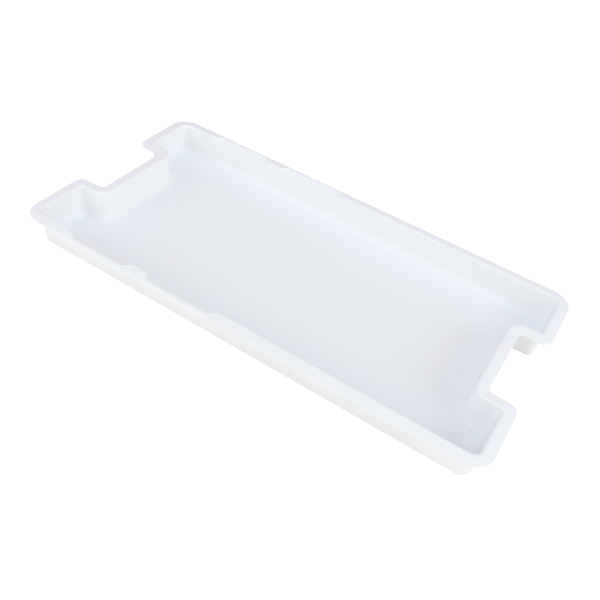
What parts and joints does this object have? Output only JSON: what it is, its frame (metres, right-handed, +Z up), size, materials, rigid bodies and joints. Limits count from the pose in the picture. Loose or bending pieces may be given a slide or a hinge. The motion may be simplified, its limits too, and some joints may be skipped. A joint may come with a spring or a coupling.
{
  "type": "developing tray",
  "caption": "Shallow white moulded tray with a flat rim all round, a hand notch in each short end and sloped rebates in the inner edge of the rim.",
  "frame": {"origin": "under the middle of the tray, on the surface it rests on", "axes": "+X along the tray, with the rim rebates nearer the -X end, +Y across it, +Z up out of the basin"},
  "size_m": [0.468, 0.24, 0.0328],
  "materials": {
    "white_plastic": "semi-gloss as moulded"
  },
  "bodies": {
    "root": {"tray": "white_plastic"}
  },
  "joints": []
}
